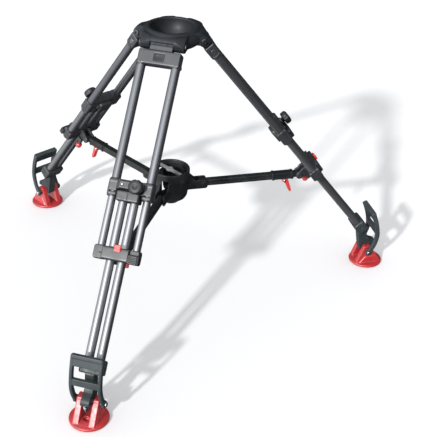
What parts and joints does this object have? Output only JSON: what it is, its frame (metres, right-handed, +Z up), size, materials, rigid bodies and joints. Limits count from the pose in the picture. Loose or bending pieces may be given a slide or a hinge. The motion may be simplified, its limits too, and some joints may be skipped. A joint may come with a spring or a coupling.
{
  "type": "camera tripod",
  "caption": "Low camera tripod with an open ball-levelling bowl, two-stage tube-pair legs, a mid-level spreader and pivoting rubber feet.",
  "frame": {"origin": "middle of the footprint on the floor; the tripod's own axis stands at y = +0.13275", "axes": "+Z up out of the bowl, -Y along the front leg"},
  "size_m": [1.0054, 0.8823, 0.6833],
  "materials": {
    "crown": "gloss black paint",
    "casting": "satin grey paint",
    "upper_tube": "anodised dark grey",
    "lower_tube": "anodised silver",
    "dark_plastic": "fine moulded grain",
    "steel": "turned",
    "red_rubber": "satin moulded",
    "red_plastic": "semi gloss",
    "strap": "matte moulded"
  },
  "bodies": {
    "crown": {"crown_casting": "crown", "front_hinge_pin": "steel", "right_hinge_pin": "steel", "left_hinge_pin": "steel"},
    "hub": {"spreader_hub": "dark_plastic", "hub_screw": "dark_plastic"},
    "front_leg": {"front_top_block": "casting", "front_upper_tube_a": "upper_tube", "front_upper_tube_b": "upper_tube", "front_middle_bracket": "casting", "front_mid_tube_a": "lower_tube", "front_mid_tube_b": "lower_tube", "front_lower_bracket": "casting"},
    "front_lower_leg": {"front_lower_yoke": "casting", "front_lower_tube_a": "lower_tube", "front_lower_tube_b": "lower_tube", "front_foot_bracket": "dark_plastic", "front_foot_spike": "steel"},
    "front_knob": {"front_clamp_knob": "dark_plastic"},
    "front_button": {"front_release_button": "red_plastic"},
    "front_pad": {"front_foot_pad": "red_rubber"},
    "front_strap_body": {"front_foot_strap": "strap"},
    "front_arm": {"front_spreader_arm": "dark_plastic"},
    "front_lever": {"front_lock_lever": "red_plastic"},
    "right_leg": {"right_top_block": "casting", "right_upper_tube_a": "upper_tube", "right_upper_tube_b": "upper_tube", "right_middle_bracket": "casting", "right_mid_tube_a": "lower_tube", "right_mid_tube_b": "lower_tube", "right_lower_bracket": "casting"},
    "right_lower_leg": {"right_lower_yoke": "casting", "right_lower_tube_a": "lower_tube", "right_lower_tube_b": "lower_tube", "right_foot_bracket": "dark_plastic", "right_foot_spike": "steel"},
    "right_knob": {"right_clamp_knob": "dark_plastic"},
    "right_button": {"right_release_button": "red_plastic"},
    "right_pad": {"right_foot_pad": "red_rubber"},
    "right_strap_body": {"right_foot_strap": "strap"},
    "right_arm": {"right_spreader_arm": "dark_plastic"},
    "right_lever": {"right_lock_lever": "red_plastic"},
    "left_leg": {"left_top_block": "casting", "left_upper_tube_a": "upper_tube", "left_upper_tube_b": "upper_tube", "left_middle_bracket": "casting", "left_mid_tube_a": "lower_tube", "left_mid_tube_b": "lower_tube", "left_lower_bracket": "casting"},
    "left_lower_leg": {"left_lower_yoke": "casting", "left_lower_tube_a": "lower_tube", "left_lower_tube_b": "lower_tube", "left_foot_bracket": "dark_plastic", "left_foot_spike": "steel"},
    "left_knob": {"left_clamp_knob": "dark_plastic"},
    "left_button": {"left_release_button": "red_plastic"},
    "left_pad": {"left_foot_pad": "red_rubber"},
    "left_strap_body": {"left_foot_strap": "strap"},
    "left_arm": {"left_spreader_arm": "dark_plastic"},
    "left_lever": {"left_lock_lever": "red_plastic"}
  },
  "joints": [
    {"name": "leg_spread", "type": "hinge", "parent": "crown", "child": "front_leg", "pos_m": [0, 0.07125, 0.6602], "axis": [1, 0, 0], "range_deg": [0, 35]},
    {"name": "right_leg_hinge", "type": "hinge", "parent": "crown", "child": "right_leg", "pos_m": [0.05326, 0.1635, 0.6602], "axis": [-0.5, 0.866, 0], "range_deg": [0, 35]},
    {"name": "left_leg_hinge", "type": "hinge", "parent": "crown", "child": "left_leg", "pos_m": [-0.05326, 0.1635, 0.6602], "axis": [-0.5, -0.866, 0], "range_deg": [0, 35]},
    {"name": "hub_rise", "type": "slide", "parent": "crown", "child": "hub", "axis": [0, 0, 1], "range_m": [-0.0001, 0.19522]},
    {"name": "front_arm_hinge", "type": "hinge", "parent": "front_leg", "child": "front_arm", "pos_m": [0, -0.18925, 0.282], "axis": [1, 0, 0], "range_deg": [-0.05, 52.62]},
    {"name": "right_arm_hinge", "type": "hinge", "parent": "right_leg", "child": "right_arm", "pos_m": [0.27886, 0.29375, 0.282], "axis": [-0.5, 0.866, 0], "range_deg": [-0.05, 52.62]},
    {"name": "left_arm_hinge", "type": "hinge", "parent": "left_leg", "child": "left_arm", "pos_m": [-0.27886, 0.29375, 0.282], "axis": [-0.5, -0.866, 0], "range_deg": [-0.05, 52.62]},
    {"name": "front_lower_extension", "type": "slide", "parent": "front_leg", "child": "front_lower_leg", "axis": [0, -0.6266, -0.7793], "range_m": [0, 0.094]},
    {"name": "front_knob_turn", "type": "hinge", "parent": "front_leg", "child": "front_knob", "pos_m": [0.017, -0.14422, 0.42412], "axis": [0, -0.7793, 0.6266], "range_deg": [-90, 90]},
    {"name": "front_button_press", "type": "slide", "parent": "front_leg", "child": "front_button", "axis": [0, -0.6266, -0.7793], "range_m": [0, 0.003]},
    {"name": "front_pad_tilt", "type": "hinge", "parent": "front_lower_leg", "child": "front_pad", "pos_m": [0, -0.39125, 0.042], "axis": [1, 0, 0], "range_deg": [-20, 20]},
    {"name": "front_strap_flip", "type": "hinge", "parent": "front_lower_leg", "child": "front_strap_body", "pos_m": [0, -0.39125, 0.042], "axis": [1, 0, 0], "range_deg": [0, 62]},
    {"name": "front_lever_flip", "type": "hinge", "parent": "front_arm", "child": "front_lever", "pos_m": [0, -0.15425, 0.2665], "axis": [1, 0, 0], "range_deg": [0, 45]},
    {"name": "right_lower_extension", "type": "slide", "parent": "right_leg", "child": "right_lower_leg", "axis": [0.5427, 0.3133, -0.7793], "range_m": [0, 0.094]},
    {"name": "right_knob_turn", "type": "hinge", "parent": "right_leg", "child": "right_knob", "pos_m": [0.23137, 0.28596, 0.42412], "axis": [0.6749, 0.3897, 0.6266], "range_deg": [-90, 90]},
    {"name": "right_button_press", "type": "slide", "parent": "right_leg", "child": "right_button", "axis": [0.5427, 0.3133, -0.7793], "range_m": [0, 0.003]},
    {"name": "right_pad_tilt", "type": "hinge", "parent": "right_lower_leg", "child": "right_pad", "pos_m": [0.4538, 0.39475, 0.042], "axis": [-0.5, 0.866, 0], "range_deg": [-20, 20]},
    {"name": "right_strap_flip", "type": "hinge", "parent": "right_lower_leg", "child": "right_strap_body", "pos_m": [0.4538, 0.39475, 0.042], "axis": [-0.5, 0.866, 0], "range_deg": [0, 62]},
    {"name": "right_lever_flip", "type": "hinge", "parent": "right_arm", "child": "right_lever", "pos_m": [0.24855, 0.27625, 0.2665], "axis": [-0.5, 0.866, 0], "range_deg": [0, 45]},
    {"name": "left_lower_extension", "type": "slide", "parent": "left_leg", "child": "left_lower_leg", "axis": [-0.5427, 0.3133, -0.7793], "range_m": [0, 0.094]},
    {"name": "left_knob_turn", "type": "hinge", "parent": "left_leg", "child": "left_knob", "pos_m": [-0.24837, 0.25651, 0.42412], "axis": [-0.6749, 0.3897, 0.6266], "range_deg": [-90, 90]},
    {"name": "left_button_press", "type": "slide", "parent": "left_leg", "child": "left_button", "axis": [-0.5427, 0.3133, -0.7793], "range_m": [0, 0.003]},
    {"name": "left_pad_tilt", "type": "hinge", "parent": "left_lower_leg", "child": "left_pad", "pos_m": [-0.4538, 0.39475, 0.042], "axis": [-0.5, -0.866, 0], "range_deg": [-20, 20]},
    {"name": "left_strap_flip", "type": "hinge", "parent": "left_lower_leg", "child": "left_strap_body", "pos_m": [-0.4538, 0.39475, 0.042], "axis": [-0.5, -0.866, 0], "range_deg": [0, 62]},
    {"name": "left_lever_flip", "type": "hinge", "parent": "left_arm", "child": "left_lever", "pos_m": [-0.24855, 0.27625, 0.2665], "axis": [-0.5, -0.866, 0], "range_deg": [0, 45]}
  ],
  "couplings": [
    {"joint": "right_leg_hinge", "follows": "leg_spread", "ratio": 1},
    {"joint": "left_leg_hinge", "follows": "leg_spread", "ratio": 1},
    {"joint": "hub_rise", "follows": "leg_spread", "m_per_rad": 0.31876},
    {"joint": "front_arm_hinge", "follows": "leg_spread", "ratio": 1.5005},
    {"joint": "right_arm_hinge", "follows": "leg_spread", "ratio": 1.5005},
    {"joint": "left_arm_hinge", "follows": "leg_spread", "ratio": 1.5005}
  ]
}
